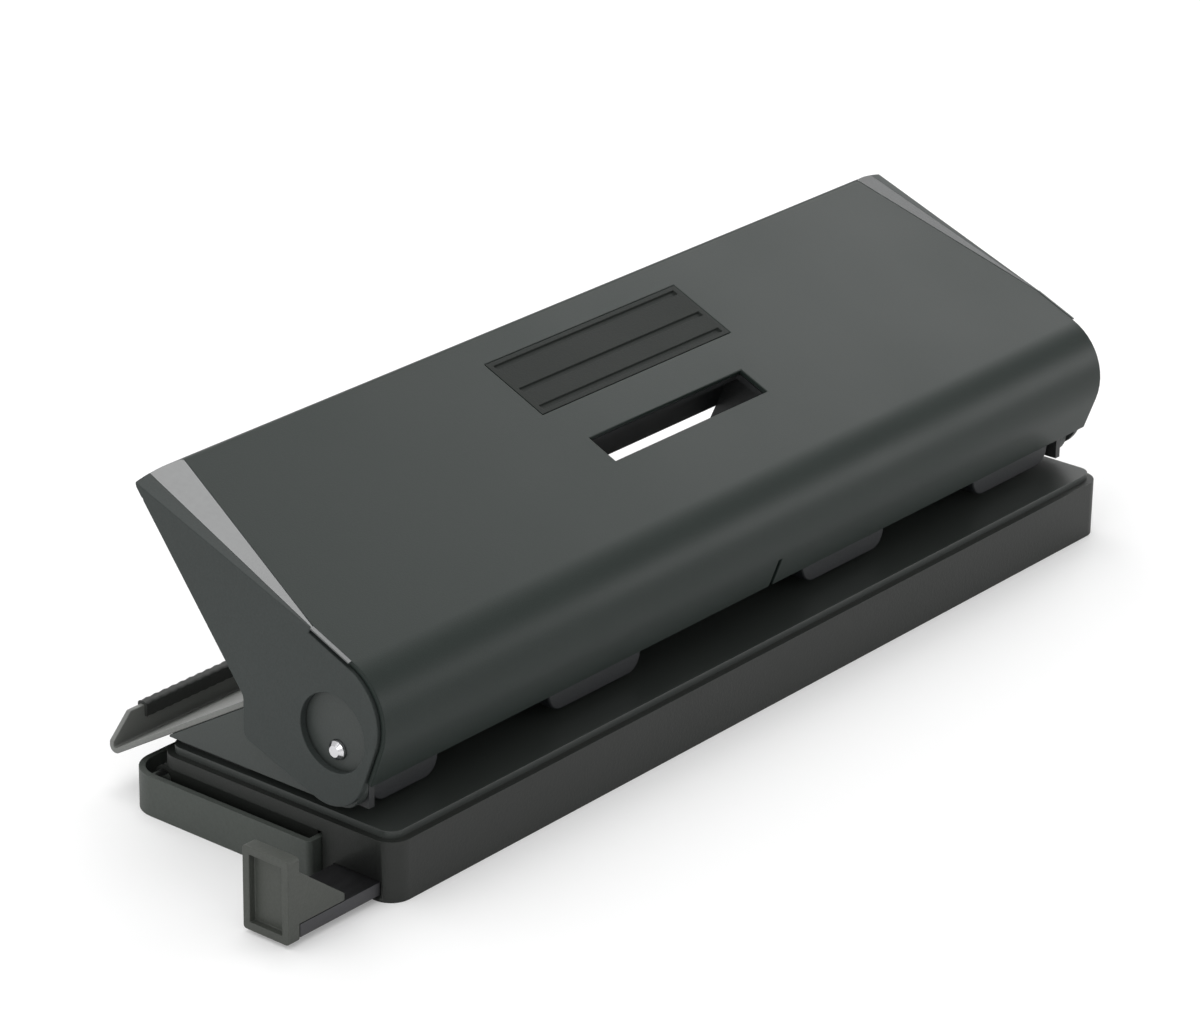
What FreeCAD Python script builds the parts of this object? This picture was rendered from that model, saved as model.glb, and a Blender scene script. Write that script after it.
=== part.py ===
import FreeCAD, Part
import math
import os

# Four-hole desk punch: a long hollow lever hinged near its front edge, a sheet-steel
# bridge that carries four punch heads over a paper slot, a low base with a hinged chip
# tray under it, and a sliding paper stop at the left end.
# Millimetres. X runs along the punch, +Y to the rear, +Z up. The origin lies on the table,
# in the middle of the length and of the base's depth.

V = FreeCAD.Vector

# ---- driving dimensions: overall -------------------------------------------------
LEVER_LENGTH = 310.0        # end panel to end panel
BASE_FRONT_Y = -43.0
BASE_REAR_Y = 37.0          # rear edge of the deck
TRAY_REAR_Y = 45.0
DECK_INSET = 1.0            # deck end inside the lever's end
TRAY_OVERHANG = 4.0         # tray end beyond the deck's end

# ---- paper path ------------------------------------------------------------------
DECK_UNDER_Z = 13.0
DECK_THICKNESS = 3.7
DIE_PLATE_THICKNESS = 2.0
SLOT_HEIGHT = 2.3
PUNCH_Y = -5.0              # row of holes
HOLE_MARGIN = 12.0          # paper edge to hole centre
HOLE_PITCH = 80.0
HEAD_COUNT = 4
LEFT_ROOM_SHARE = 11 / 28   # left end's share of the lever's length beyond the outer holes

# ---- pivot and lever -------------------------------------------------------------
PIVOT_Y = -24.0
PIVOT_Z = 36.5
PIVOT_PIN_R = 2.5
PIN_TIP_R = 1.5
PIN_TIP = 0.9
PIN_INSET = 0.6             # pin end inside the end panel's outer face
PIN_PAST_CLIP = 1.5
LEVER_TILT = 23.4           # degrees at rest
LEVER_SWING = 20.0          # degrees from rest to fully pressed
TOP_RISE = 26.1             # pivot to the lever's top face
REAR_REACH = 88.4           # pivot to where the top face and the rear edge would meet
NOSE_CORNER = -11.7         # where the top face and the front skirt would meet
NOSE_R = 17.4
SKIRT_LEAN = 3.4            # degrees
SKIRT_LENGTH = 27.0         # from the nose corner to the lip
COVER_WALL = 1.5
REAR_HEM_R = 2.5
REAR_HEM = 12.5             # from that meeting point, past the rounded edge
REAR_EDGE_ANGLE = 28.9      # degrees between the top face and the end panel's rear edge
CAP_WALL = 2.0
CAP_BOTTOM_GAP = 0.4        # pressed end panel over the slot's upper side
CAP_SWEEP_R = 30.3
CAP_WAIST_TURN = 12.7       # degrees below the top face, seen from the pivot
CAP_CORNER_R = 3.0
CAP_TOE_R = 12.0
CAP_HOLE_R = 10.5
CAP_HOLE_RISE = 5.2         # hole centre above the pivot
FACET_WIDTH = 15.4          # at the rear, beyond the cover's inset
FACET_ANGLE = 12.9          # degrees below the top face
TRIM_WALL = 1.6
TRIM_HEM = 12.0
TRIM_FRONT = 13.0           # facet's front end behind the nose
LEDGE_FRONT = 0.4           # end panel's ledge outside the facet, at the facet's front end
LEDGE_REAR = 5.2
COVER_INSET = 1.0           # cover end inside the end panel

# ---- clearances ------------------------------------------------------------------
FIT = 0.02                  # pressed or screwed together
RUN = 0.05                  # radial, shaft in a bore
SEAT = 0.1                  # between pieces that are fastened together
SLIDE = 0.3                 # between pieces that move past each other
SIDE_GAP = 0.4              # end panel to the frame's cheek

# ---- window, pad and sight notch in the lever ------------------------------------
WINDOW_X = 2.0
WINDOW_LENGTH = 64.8
WINDOW_FRONT = 26.0
WINDOW_DEPTH = 9.8
WINDOW_R = 1.0
PAD_X = 4.3                 # pad's middle, from the lever's middle
PAD_LENGTH = 80.0
PAD_FRONT = 48.5
PAD_REAR = 70.5
PAD_POCKET = 0.9
PAD_GROOVES = [49.9, 57.4, 67.2]     # front sides of the pad's grooves
PAD_GROOVE_WIDTH = 1.8
PAD_GROOVE_DEPTH = 0.6
NOTCH_X = 5.0
NOTCH_WIDTH = 1.4
NOTCH_HEIGHT = 9.0

# ---- lever's inner steelwork -----------------------------------------------------
CHANNEL_WALL = 1.6
CHANNEL_BEND_R = 2.4
CHANNEL_FRONT = 8.0
CHANNEL_REAR = 42.0
CHANNEL_FRONT_LEG = 12.0
CHANNEL_REAR_LEG = 16.6
EAR_MARGIN = 0.9            # cheek's round ear beyond the hole it fills
ARM_WALL = 2.0
ARM_PIVOT_R = 8.0
ARM_RELIEF = 3.0            # room beside the arm, clip and bush
ARM_TOP_DEPTH = 7.0         # arm's rear end below the channel's top
ARM_REAR_INSET = 2.0
ARM_ROD_R = 5.0
RIB_X = 39.0                # middle of the two ribs beside the window
RIB_WALL = 2.0
RIB_ARCH = 7.5              # underside over the bridge, above the pivot
RIB_ARCH_REACH = 10.0       # behind the rod
RIB_REAR_V = 0.5
RIB_CORNER = 2.0
RIB_ROD_R = 4.5
ROD_R = 3.0
ROD_Y = 17.7                # rod behind the pivot at rest
ROD_Z = 12.0                # rod above the pivot at rest
ROD_OVERHANG = 0.4          # rod end outside the arm
BUSH_WALL = 1.5

# ---- frame -----------------------------------------------------------------------
CHEEK_WALL = 3.0
CHEEK_FRONT_Y = -31.0
CHEEK_REAR_Y = 34.0
CHEEK_TOP_Z = 42.0
CHEEK_SHOULDER = 6.0        # flat top in front of the roof's slope
CHEEK_FRONT_R = 6.0
CHEEK_REAR_R = 3.0
BRACKET_WALL = 2.0
BRACKET_GAP = 0.2
BRIDGE_WALL = 2.0
BRIDGE_FRONT_Y = -29.0
HEAD_FRONT_Y = -29.8
HEAD_HEIGHT = 11.9
HEAD_INSIDE = 5.0           # block beyond its hole, towards the middle
HEAD_OUTSIDE = 32.0         # block beyond its hole, towards the end
HEAD_CORNER_R = 5.0
ROOF_WALL = 1.5
ROOF_FRONT_Y = 3.0
ROOF_REAR_Y = 54.0
ROOF_REAR_Z = 11.1
ROOF_ANGLE = 31.6           # degrees down to the rear
LIP_HEIGHT = 8.4
LIP_BEND_R = 0.5
LIP_CORNER_Z = 2.0          # where the lip's slanted end starts, above the roof's edge
LIP_STRIP_HEIGHT = 4.0
LIP_STRIP_WALL = 0.9
LIP_STRIP_R = 1.2
LIP_STRIP_INSET = 11.4      # strip end inside the roof's end
FLANGE_LENGTH = 14.0
FENCE_WALL = 2.0
FENCE_FOOT = 13.0
BRACKET_FLANGE = 11.0
BRACKET_SCREW_FRONT = 10.0  # behind the fence's face
BRACKET_SCREW_REAR = 7.0    # in front of the cheek's rear end
BRACKET_FOOT_INSET = 1.0
HEAD_SCREW_FRONT = 10.0     # in front of the row of holes

# ---- punches ---------------------------------------------------------------------
PUNCH_R = 2.75
PUNCH_TIP_LIFT = 0.4        # tip above the head's underside at rest
PUNCH_HEAD_R = 4.5
PUNCH_HEAD = 2.5
PUNCH_HEAD_EDGE = 0.5
PUNCH_GROOVE_R = 5.5        # hollow across the tip, so that it cuts like scissors
PUNCH_GROOVE_DEPTH = 0.9
DIE_R = 6.0
DIE_LENGTH = 3.5
CHIP_HOLE_R = 8.0           # opening in the deck under each die bush
SPRING_SEAT_Z = 28.0
SPRING_R = 3.4
SPRING_WIRE_R = 0.45
SPRING_TURNS = 6

# ---- base, tray and paper stop ---------------------------------------------------
FOOT_REAR_Y = -19.6
TRAY_RIM_Z = 11.3
TRAY_WALL = 1.8
TRAY_CORNER_R = 9.0
TRAY_FRONT_GAP = 0.6
DECK_CORNER_R = 6.0
DIE_PLATE_INSET = 2.0
TRAY_FRONT_R = 1.5
TRAY_EAR_R = 2.6
TRAY_PIN_END = 0.9          # closed wall outside the pin's end
SKIRT_WALL = 2.0
SKIRT_DEPTH = 5.0
SKIRT_INSET = 3.8
HINGE_Y = 36.0
HINGE_Z = 8.6
HINGE_R = 1.5
HINGE_EAR_R = 3.6
STOP_OUT = 32.5             # stop's outer face beyond the deck's left end
STOP_WALL = 4.0
STOP_DEPTH = 15.0
STOP_FRONT_Y = -38.5
STOP_BOTTOM_Z = 1.0
STOP_TOP_Z = 23.7
STOP_RIM = 2.2
STOP_POCKET = 2.0
STOP_GUSSET = 16.0
STOP_GUSSET_WALL = 2.4
STOP_GUSSET_DROP = 4.0      # gusset's top below the stop's top
STOP_SOLE = 2.0
STOP_SCREW_SHARE = 0.6      # screw's place along the gusset
STOP_EDGE_R = 1.0
BAR_THICKNESS = 3.5
BAR_BOTTOM_Z = 2.0
BAR_END_X = 60.0
BAR_TRAVEL_IN = 12.0
SCREW_R = 1.5
SCREW_HEAD_R = 2.9
SCREW_HEAD = 1.7
SCREW_HEAD_EDGE = 0.6
SCREW_SLOT = 0.8
HEAD_SCREW_LENGTH = 6.0
BASE_SCREW_LENGTH = 7.0
STOP_SCREW_LENGTH = 4.0
CLIP_WALL = 0.8
CLIP_R = 4.6

# ---- worked out from the values above --------------------------------------------
HALF = LEVER_LENGTH / 2
DECK_HALF_LENGTH = HALF - DECK_INSET
TRAY_HALF_LENGTH = DECK_HALF_LENGTH + TRAY_OVERHANG
DECK_TOP_Z = DECK_UNDER_Z + DECK_THICKNESS
PAPER_Z = DECK_TOP_Z + DIE_PLATE_THICKNESS
SLOT_TOP_Z = PAPER_Z + SLOT_HEIGHT
FENCE_Y = PUNCH_Y + HOLE_MARGIN
HEAD_TOP_Z = SLOT_TOP_Z + HEAD_HEIGHT
WEB_UNDER_Z = HEAD_TOP_Z + SEAT
WEB_TOP_Z = WEB_UNDER_Z + BRIDGE_WALL
HOLE_ROW = (HEAD_COUNT - 1) * HOLE_PITCH
FIRST_HOLE_X = -HALF + LEFT_ROOM_SHARE * (LEVER_LENGTH - HOLE_ROW)
PUNCH_X = [FIRST_HOLE_X + i * HOLE_PITCH for i in range(HEAD_COUNT)]
SPRING_BORE_R = SPRING_R + SPRING_WIRE_R + SLIDE
CHEEK_X = HALF - CAP_WALL - SIDE_GAP
BRACKET_X = CHEEK_X - CHEEK_WALL - BRACKET_GAP
ARM_X = BRACKET_X - BRACKET_WALL - 2 * SIDE_GAP
BRIDGE_X = BRACKET_X - BRACKET_WALL - SEAT
ROD_TOP_OF_PUNCH_Z = PIVOT_Z + ROD_Z - ROD_R - SLIDE
TILT = math.radians(LEVER_TILT)
FACET_FRONT = NOSE_CORNER + NOSE_R + TRIM_FRONT
ROD_U = ROD_Y * math.cos(TILT) + ROD_Z * math.sin(TILT)
ROD_V = ROD_Z * math.cos(TILT) - ROD_Y * math.sin(TILT)
ROOF_SLOPE = math.tan(math.radians(ROOF_ANGLE))
ROOF_DROP = ROOF_WALL / math.cos(math.radians(ROOF_ANGLE))
STOP_X = -DECK_HALF_LENGTH - STOP_OUT
STOP_REAR_Y = STOP_FRONT_Y + STOP_DEPTH
BAR_TOP_Z = BAR_BOTTOM_Z + BAR_THICKNESS


# ---- helpers ---------------------------------------------------------------------
def box(x0, x1, y0, y1, z0, z1):
    return Part.makeBox(x1 - x0, y1 - y0, z1 - z0, V(x0, y0, z0))


def rod_x(x0, x1, y, z, r):
    return Part.makeCylinder(r, x1 - x0, V(x0, y, z), V(1, 0, 0))


def rod_z(x, y, z0, z1, r):
    return Part.makeCylinder(r, z1 - z0, V(x, y, z0), V(0, 0, 1))


def corner_path(points, radii, closed):
    """Edges through the points, with an arc of the given radius at each corner."""
    count = len(points)
    edges = []
    starts = []
    ends = []
    for i, (point, radius) in enumerate(zip(points, radii)):
        if radius == 0 or (not closed and i in (0, count - 1)):
            starts.append(point)
            ends.append(point)
            continue
        before = (points[i - 1] - point).normalize()
        after = (points[(i + 1) % count] - point).normalize()
        half = before.getAngle(after) / 2
        reach = radius / math.tan(half)
        middle = (before + after).normalize()
        centre = point + middle * (radius / math.sin(half))
        start = point + before * reach
        end = point + after * reach
        edges.append((i, Part.Arc(start, centre - middle * radius, end).toShape()))
        starts.append(start)
        ends.append(end)
    arcs = dict(edges)
    path = []
    for i in range(count):
        if i in arcs:
            path.append(arcs[i])
        if i + 1 < count or closed:
            a = ends[i]
            b = starts[(i + 1) % count]
            if (b - a).Length > 1e-6:
                path.append(Part.LineSegment(a, b).toShape())
    return path


def plate_x(points, x0, x1, radii=None):
    """A plate between two X values, with its outline given as (y, z) points."""
    corners = [V(x0, y, z) for y, z in points]
    edges = corner_path(corners, radii or [0] * len(corners), True)
    return Part.Face(Part.Wire(edges)).extrude(V(x1 - x0, 0, 0))


def plate_z(points, z0, z1, radii=None):
    """A plate between two Z values, with its outline given as (x, y) points."""
    corners = [V(x, y, z0) for x, y in points]
    edges = corner_path(corners, radii or [0] * len(corners), True)
    return Part.Face(Part.Wire(edges)).extrude(V(0, 0, z1 - z0))


def sheet_face(points, radii, wall, x0):
    """Section of bent sheet: one side follows the (y, z) points, the wall lies to their right."""
    outer = [V(x0, y, z) for y, z in points]
    ways = [(b - a).normalize() for a, b in zip(outer, outer[1:])]
    rights = [V(0, way.z, -way.y) for way in ways]
    inner = [outer[0] + rights[0] * wall]
    inner_radii = [0]
    for i in range(1, len(outer) - 1):
        turn = rights[i - 1].getAngle(rights[i])
        middle = (rights[i - 1] + rights[i]).normalize()
        inner.append(outer[i] + middle * (wall / math.cos(turn / 2)))
        bends_right = ways[i - 1].cross(ways[i]).x < 0
        change = -wall if bends_right else wall
        inner_radii.append(max(radii[i] + change, 0) if radii[i] else 0)
    inner.append(outer[-1] + rights[-1] * wall)
    inner_radii.append(0)
    loop = outer + inner[::-1]
    edges = corner_path(loop, list(radii) + inner_radii[::-1], True)
    return Part.Face(Part.Wire(edges))


def sheet_x(points, radii, wall, x0, x1):
    """Bent sheet between two X values."""
    return sheet_face(points, radii, wall, x0).extrude(V(x1 - x0, 0, 0))


def on_lever(shape):
    """From the lever's own axes (pivot at 0, Y along its top face) to the rest pose."""
    placed = shape.copy()
    placed.rotate(V(0, 0, 0), V(1, 0, 0), LEVER_TILT)
    placed.translate(V(0, PIVOT_Y, PIVOT_Z))
    return placed


def mirrored(shape):
    return shape.mirror(V(0, 0, 0), V(1, 0, 0))


def roof_z(y):
    """Height of the roof's upper side at y."""
    return ROOF_REAR_Z + (ROOF_REAR_Y - y) * ROOF_SLOPE


def save(name, shape):
    shape.exportStep("parts/" + name + ".step")


# ---- lever -----------------------------------------------------------------------
def facet_edge(u):
    """Cover's end, measured from the end panel's outer face, at u along the top."""
    share = max(u - FACET_FRONT, 0) / (REAR_REACH - FACET_FRONT)
    return COVER_INSET + FACET_WIDTH * share


def facet_v(x_in, u):
    """Height of the end facet at x_in from the end panel's outer face."""
    return TOP_RISE - (facet_edge(u) - x_in) * math.tan(math.radians(FACET_ANGLE))


def cover_outline(inset):
    """Corner points of the lever's section: hem, rear edge, nose and lip."""
    lean = math.radians(SKIRT_LEAN)
    hem_end = rear_edge_point(REAR_HEM)
    rear = (REAR_REACH, TOP_RISE)
    corner = (NOSE_CORNER + inset, TOP_RISE - inset)
    lip = (NOSE_CORNER + inset - SKIRT_LENGTH * math.sin(lean),
           TOP_RISE - SKIRT_LENGTH * math.cos(lean))
    return hem_end, rear, corner, lip


def window_cutter(v0, v1):
    x0 = WINDOW_X - WINDOW_LENGTH / 2
    outline = [(x0, WINDOW_FRONT), (x0 + WINDOW_LENGTH, WINDOW_FRONT),
               (x0 + WINDOW_LENGTH, WINDOW_FRONT + WINDOW_DEPTH),
               (x0, WINDOW_FRONT + WINDOW_DEPTH)]
    return plate_z(outline, v0, v1, [WINDOW_R] * 4)


def cover_corner(gap, v0):
    """Block that holds all of the cover behind its nose, between the two facets."""
    nose_top = NOSE_CORNER + NOSE_R
    front = HALF - COVER_INSET - gap
    rear = HALF - facet_edge(REAR_REACH) - gap
    over = REAR_REACH + REAR_HEM
    outline = [(-front, nose_top), (front, nose_top), (front, FACET_FRONT), (rear, REAR_REACH),
               (rear, over), (-rear, over), (-rear, REAR_REACH), (-front, FACET_FRONT)]
    return plate_z(outline, v0, TOP_RISE + 1)


def lever_cover():
    end = HALF - COVER_INSET
    points = cover_outline(0)
    shell = sheet_x(points, [0, REAR_HEM_R, NOSE_R, 0], -COVER_WALL, -end, end)
    keep = cover_corner(0, -TOP_RISE)
    shell = shell.common(keep.fuse(box(-end, end, -REAR_REACH, NOSE_CORNER + NOSE_R,
                                       -TOP_RISE, TOP_RISE + 1)))
    shell = shell.cut(window_cutter(TOP_RISE - 2 * COVER_WALL, TOP_RISE + 1))
    pocket = box(PAD_X - PAD_LENGTH / 2, PAD_X + PAD_LENGTH / 2, PAD_FRONT, PAD_REAR,
                 TOP_RISE - PAD_POCKET, TOP_RISE + 1)
    shell = shell.cut(pocket)
    lip_u, lip_v = points[-1]
    notch = box(NOTCH_X - NOTCH_WIDTH / 2, NOTCH_X + NOTCH_WIDTH / 2,
                lip_u - COVER_WALL, lip_u + 3 * COVER_WALL, lip_v - 1, lip_v + NOTCH_HEIGHT)
    return on_lever(shell.cut(notch))


def grip_pad():
    x0 = PAD_X - PAD_LENGTH / 2 + SEAT
    x1 = PAD_X + PAD_LENGTH / 2 - SEAT
    pad = box(x0, x1, PAD_FRONT + SEAT, PAD_REAR - SEAT, TOP_RISE - PAD_POCKET, TOP_RISE)
    for front in PAD_GROOVES:
        pad = pad.cut(box(x0 + PAD_GROOVE_WIDTH, x1 - PAD_GROOVE_WIDTH, front,
                          front + PAD_GROOVE_WIDTH, TOP_RISE - PAD_GROOVE_DEPTH, TOP_RISE + 1))
    return on_lever(pad)


def rear_edge_point(length):
    """Point on the rear edge's slope, measured down from its meeting with the top face."""
    edge = math.radians(REAR_EDGE_ANGLE)
    return REAR_REACH - length * math.cos(edge), TOP_RISE - length * math.sin(edge)


def below_facet(drop):
    """Everything under the left facet's plane, lowered by drop."""
    u0 = FACET_FRONT
    u1 = REAR_REACH + REAR_HEM_R
    x1 = facet_edge(REAR_REACH) + REAR_HEM_R
    corners = [V(-HALF + x_in, u, facet_v(x_in, u) - drop)
               for u, x_in in ((u0, -1), (u0, x1), (u1, x1), (u1, -1))]
    face = Part.Face(Part.makePolygon(corners + corners[:1]))
    return face.extrude(V(0, 0, -4 * TOP_RISE))


def facet_shell(wall, hem):
    """Left corner of the lever outside an inner block that is set in by wall."""
    x0 = -HALF
    x1 = -HALF + facet_edge(REAR_REACH)
    front = FACET_FRONT
    hem_end = rear_edge_point(hem)
    outer = plate_x([hem_end, (REAR_REACH, TOP_RISE), (front, TOP_RISE),
                     (front, TOP_RISE - 2 * wall)], x0, x1, [0, REAR_HEM_R, 0, 0])
    edge = math.radians(REAR_EDGE_ANGLE)
    corner = (REAR_REACH - wall / math.tan(edge / 2), TOP_RISE - wall)
    low = (corner[0] - 2 * hem * math.cos(edge), corner[1] - 2 * hem * math.sin(edge))
    inner = plate_x([low, corner, (front - 1, TOP_RISE - wall), (front - 1, low[1])],
                    x0 - 1, x1 + 1, [0, REAR_HEM_R - wall, 0, 0])
    return outer.cut(inner.common(below_facet(wall)))


def ledge_block(gap):
    """Block over the left end panel's ledge, which lies outside the facet and widens rearwards."""
    x0 = -HALF - 1
    x1 = -HALF + LEDGE_FRONT + gap
    x2 = -HALF + LEDGE_REAR + gap
    over = REAR_REACH + REAR_HEM
    outline = [(x0, FACET_FRONT - 1), (x1, FACET_FRONT - 1), (x1, FACET_FRONT),
               (x2, REAR_REACH), (x2, over), (x0, over)]
    return plate_z(outline, -TOP_RISE, TOP_RISE + 1)


def end_cap():
    """Left end panel, with a ledge beside the facet and the hole that shows the pivot pin."""
    pressed = math.radians(LEVER_TILT - LEVER_SWING)
    reach = PIVOT_Z - SLOT_TOP_Z - CAP_BOTTOM_GAP
    gap = COVER_WALL + SLIDE
    lean = math.tan(math.radians(SKIRT_LEAN))
    edge = math.tan(math.radians(REAR_EDGE_ANGLE))

    def bottom_v(u):
        return -reach / math.cos(pressed) - u * math.tan(pressed)

    def front_u(v):
        return NOSE_CORNER + gap - (TOP_RISE - v) * lean

    tip = (REAR_REACH - gap / edge, TOP_RISE - gap)
    waist_u = CAP_SWEEP_R * math.cos(math.radians(CAP_WAIST_TURN))
    waist = (waist_u, TOP_RISE - (REAR_REACH - waist_u) * edge)
    low_u = math.sqrt(CAP_SWEEP_R ** 2 - reach ** 2) - reach * math.tan(pressed)
    low = (low_u, bottom_v(low_u))
    front = (front_u(-reach), bottom_v(front_u(-reach)))
    outline = [(front_u(tip[1]), tip[1]), tip, waist, low, front]
    radii = [NOSE_R - gap, REAR_HEM_R, CAP_CORNER_R, CAP_CORNER_R, CAP_TOE_R]
    cap = plate_x(outline, -HALF, -HALF + CAP_WALL, radii)
    shell = facet_shell(TRIM_WALL + SEAT, TRIM_HEM + SEAT)
    ledge = shell.common(below_facet(0)).common(ledge_block(0))
    cap = cap.cut(shell).fuse(ledge)
    hole_u = CAP_HOLE_RISE * math.sin(TILT)
    hole_v = CAP_HOLE_RISE * math.cos(TILT)
    hole = rod_x(-HALF - 1, -HALF + CAP_WALL + 1, hole_u, hole_v, CAP_HOLE_R)
    return on_lever(cap.cut(hole).removeSplitter())


def end_trim():
    """Left glossy facet: slants up from the end panel to the cover, hemmed at the rear."""
    trim = facet_shell(TRIM_WALL, TRIM_HEM).common(below_facet(0))
    return on_lever(trim.cut(cover_corner(-SEAT, -TOP_RISE)).cut(ledge_block(SEAT)))


def channel_top():
    return TOP_RISE - COVER_WALL - SEAT


def lever_channel():
    end = ARM_X - ARM_WALL - SEAT
    top = channel_top()
    points = [(CHANNEL_REAR, top - CHANNEL_REAR_LEG), (CHANNEL_REAR, top),
              (CHANNEL_FRONT, top), (CHANNEL_FRONT, top - CHANNEL_FRONT_LEG)]
    channel = sheet_x(points, [0, CHANNEL_BEND_R, CHANNEL_BEND_R, 0], -CHANNEL_WALL, -end, end)
    channel = channel.cut(window_cutter(top - 2 * CHANNEL_WALL, top + 1))
    return on_lever(channel)


def lever_arm():
    """Left arm: turns on the pivot pin and carries one end of the press rod."""
    top = channel_top()
    rear = CHANNEL_REAR - ARM_REAR_INSET
    x0 = -ARM_X
    x1 = x0 + ARM_WALL
    web = plate_x([(-ARM_PIVOT_R, 0), (CHANNEL_FRONT, top), (rear, top),
                   (rear, top - ARM_TOP_DEPTH), (ROD_U + ARM_ROD_R, ROD_V),
                   (ROD_U, ROD_V - ARM_ROD_R), (0, -ARM_PIVOT_R)], x0, x1)
    arm = web.fuse(rod_x(x0, x1, 0, 0, ARM_PIVOT_R))
    arm = arm.fuse(rod_x(x0, x1, ROD_U, ROD_V, ARM_ROD_R))
    arm = arm.cut(rod_x(x0 - 1, x1 + 1, 0, 0, PIVOT_PIN_R + RUN + BUSH_WALL + FIT))
    arm = arm.cut(rod_x(x0 - 1, x1 + 1, ROD_U, ROD_V, ROD_R + FIT))
    return on_lever(arm.removeSplitter())


def pivot_bush():
    x0 = -ARM_X - SEAT
    x1 = x0 + ARM_WALL + 2 * SEAT
    bush = rod_x(x0, x1, 0, 0, PIVOT_PIN_R + RUN + BUSH_WALL)
    return on_lever(bush.cut(rod_x(x0 - 1, x1 + 1, 0, 0, PIVOT_PIN_R + RUN)))


def lever_rib():
    """Left rib: hangs from the channel beside the window and steadies the press rod."""
    top = channel_top() - CHANNEL_WALL - SEAT
    x0 = -RIB_X - RIB_WALL / 2
    x1 = x0 + RIB_WALL
    front = CHANNEL_FRONT + CHANNEL_WALL + SEAT + RIB_CORNER
    rear = CHANNEL_REAR - CHANNEL_WALL - SEAT
    rib = plate_x([(front, top), (rear - RIB_CORNER, top), (rear, top - RIB_CORNER),
                   (rear, RIB_REAR_V), (ROD_U + RIB_ARCH_REACH, RIB_ARCH),
                   (ROD_U + RIB_ROD_R, RIB_ARCH), (ROD_U, ROD_V - RIB_ROD_R),
                   (ROD_U - RIB_ROD_R, ROD_V)], x0, x1)
    rib = rib.fuse(rod_x(x0, x1, ROD_U, ROD_V, RIB_ROD_R))
    rib = rib.cut(rod_x(x0 - 1, x1 + 1, ROD_U, ROD_V, ROD_R + FIT))
    return on_lever(rib.removeSplitter())


def press_rod():
    end = ARM_X + ROD_OVERHANG
    return on_lever(rod_x(-end, end, ROD_U, ROD_V, ROD_R))


# ---- frame -----------------------------------------------------------------------
def cheek_outline(bottom):
    roof_low = roof_z(CHEEK_REAR_Y) - ROOF_DROP - SEAT
    roof_high = roof_z(ROOF_FRONT_Y) - ROOF_DROP - SEAT
    return [(CHEEK_FRONT_Y, bottom), (CHEEK_REAR_Y, bottom), (CHEEK_REAR_Y, roof_low),
            (ROOF_FRONT_Y, roof_high), (ROOF_FRONT_Y - CHEEK_SHOULDER, CHEEK_TOP_Z),
            (CHEEK_FRONT_Y, CHEEK_TOP_Z)]


def side_cheek():
    """Left plastic cheek, with a round ear that closes the end panel's hole from inside."""
    x0 = -CHEEK_X
    x1 = x0 + CHEEK_WALL
    cheek = plate_x(cheek_outline(SLOT_TOP_Z), x0, x1,
                    [CHEEK_FRONT_R, 0, 0, 0, CHEEK_REAR_R, CHEEK_FRONT_R])
    half_swing = math.radians(LEVER_SWING / 2)
    ear_y = PIVOT_Y + CAP_HOLE_RISE * math.sin(half_swing)
    ear_z = PIVOT_Z + CAP_HOLE_RISE * math.cos(half_swing)
    ear_r = CAP_HOLE_R + CAP_HOLE_RISE * math.sin(half_swing) + EAR_MARGIN
    cheek = cheek.fuse(rod_x(x0, x1, ear_y, ear_z, ear_r)).removeSplitter()
    return cheek.cut(rod_x(x0 - 1, x1 + 1, PIVOT_Y, PIVOT_Z, PIVOT_PIN_R + FIT))


def side_bracket():
    """Left steel bracket: pivot wall, and a foot behind the paper slot."""
    x0 = -BRACKET_X
    x1 = x0 + BRACKET_WALL
    foot_y = FENCE_Y + FENCE_WALL + SEAT
    outline = cheek_outline(SLOT_TOP_Z + SLIDE)
    rear_y = CHEEK_REAR_Y - BRACKET_FOOT_INSET
    outline[1:2] = [(foot_y, SLOT_TOP_Z + SLIDE), (foot_y, PAPER_Z), (rear_y, PAPER_Z),
                    (rear_y, SLOT_TOP_Z + SLIDE), (CHEEK_REAR_Y, SLOT_TOP_Z + SLIDE)]
    wall = plate_x(outline, x0, x1)
    flange = box(x1, x1 + BRACKET_FLANGE, foot_y, rear_y,
                 PAPER_Z, PAPER_Z + BRACKET_WALL)
    bracket = wall.fuse(flange)
    bracket = bracket.cut(rod_x(x0 - 1, x1 + 1, PIVOT_Y, PIVOT_Z, PIVOT_PIN_R + FIT))
    for x, y in bracket_screws():
        bracket = bracket.cut(rod_z(x, y, PAPER_Z - 1, PAPER_Z + 2 * BRACKET_WALL, SCREW_R + FIT))
    return bracket.removeSplitter()


def bracket_screws():
    x = -BRACKET_X + BRACKET_WALL + BRACKET_FLANGE / 2
    return [(x, FENCE_Y + BRACKET_SCREW_FRONT), (x, CHEEK_REAR_Y - BRACKET_SCREW_REAR)]


def pivot_pin():
    x0 = -HALF + PIN_INSET
    x1 = -ARM_X + ARM_WALL + CLIP_WALL + PIN_PAST_CLIP
    pin = rod_x(x0 + PIN_TIP, x1, PIVOT_Y, PIVOT_Z, PIVOT_PIN_R)
    tip = Part.makeCone(PIN_TIP_R, PIVOT_PIN_R, PIN_TIP, V(x0, PIVOT_Y, PIVOT_Z), V(1, 0, 0))
    return pin.fuse(tip).removeSplitter()


def ring_x(x0, y, z, inner_r, outer_r):
    ring = rod_x(x0, x0 + CLIP_WALL, y, z, outer_r)
    return ring.cut(rod_x(x0 - 1, x0 + CLIP_WALL + 1, y, z, inner_r))


def pivot_clip():
    x0 = -ARM_X + ARM_WALL + 2 * SEAT + SLIDE
    return ring_x(x0, PIVOT_Y, PIVOT_Z, PIVOT_PIN_R + FIT, CLIP_R)


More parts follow.
